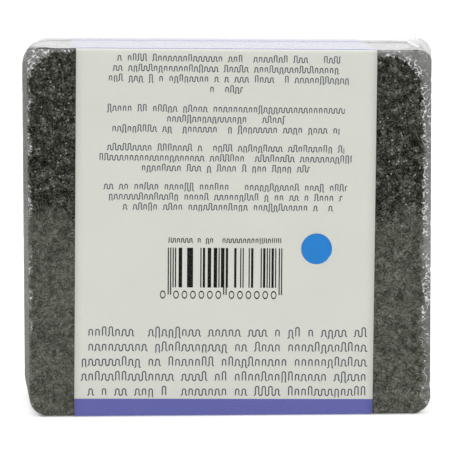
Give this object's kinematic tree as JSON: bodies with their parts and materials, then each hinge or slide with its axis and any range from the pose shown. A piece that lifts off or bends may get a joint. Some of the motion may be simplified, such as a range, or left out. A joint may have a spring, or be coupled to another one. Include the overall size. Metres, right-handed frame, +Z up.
{
  "type": "pumice stone",
  "caption": "Upright pumice block for rubbing or grooming, with rounded corners, a printed paper band, a round sticker and clear shrink film over everything.",
  "frame": {"origin": "on the surface that the block stands on, under the middle of the block", "axes": "+Z up, +X to the right of someone who faces the printed side, and the printed side faces -Y"},
  "size_m": [0.1028, 0.0402, 0.0933],
  "materials": {
    "pumice": "dark olive grey, fine open pores, matt",
    "printed_paper": "pale grey panel on a violet band, satin",
    "blue_paper": "plain bright blue, satin",
    "clear_film": "clear thin film, glossy"
  },
  "bodies": {
    "root": {"pumice_stone": "pumice", "paper_band": "printed_paper", "dot_sticker": "blue_paper", "shrink_film": "clear_film"}
  },
  "joints": []
}
